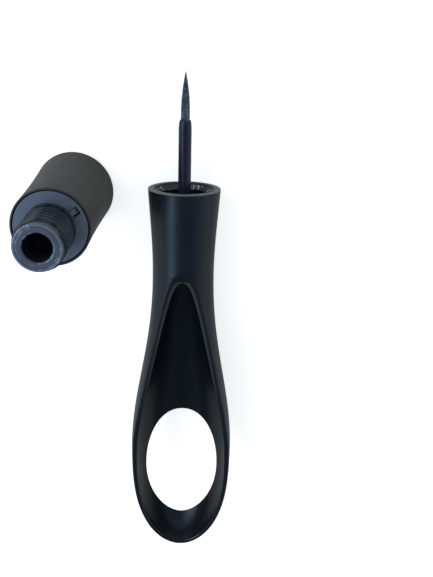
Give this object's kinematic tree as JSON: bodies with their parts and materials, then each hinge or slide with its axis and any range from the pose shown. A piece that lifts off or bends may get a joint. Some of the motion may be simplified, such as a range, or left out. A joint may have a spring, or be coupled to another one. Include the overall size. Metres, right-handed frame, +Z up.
{
  "type": "liquid eyeliner bottle",
  "caption": "Liquid eyeliner with its finger-ring brush cap taken off: a small round bottle with a threaded neck stands beside the scooped cap.",
  "frame": {"origin": "centre of the bottle's flat foot, on the table", "axes": "+Z up along the bottle, +Y the way the lying cap's brush points, +X from the bottle to the cap"},
  "size_m": [0.0516, 0.1323, 0.044],
  "materials": {
    "sleeve_plastic": "satin black",
    "bottle_plastic": "semi-gloss slate blue",
    "wiper_plastic": "soft matt grey",
    "ball_steel": "polished",
    "handle_plastic": "satin black",
    "liner_plastic": "gloss black",
    "stem_plastic": "gloss black",
    "brush_fibre": "straight synthetic bristles"
  },
  "bodies": {
    "bottle": {"outer_sleeve": "sleeve_plastic", "inner_bottle": "bottle_plastic", "orifice_wiper": "wiper_plastic"},
    "applicator": {"ring_handle": "handle_plastic", "thread_liner": "liner_plastic", "brush_stem": "stem_plastic", "brush_tip": "brush_fibre"},
    "ball": {"mixing_ball": "ball_steel"}
  },
  "joints": [
    {"name": "applicator_lift", "type": "slide", "parent": "bottle", "child": "applicator", "axis": [0, 0, 1], "range_m": [0, 0.06]},
    {"name": "ball_travel", "type": "slide", "parent": "bottle", "child": "ball", "axis": [0, 0, 1], "range_m": [0, 0.021]}
  ]
}
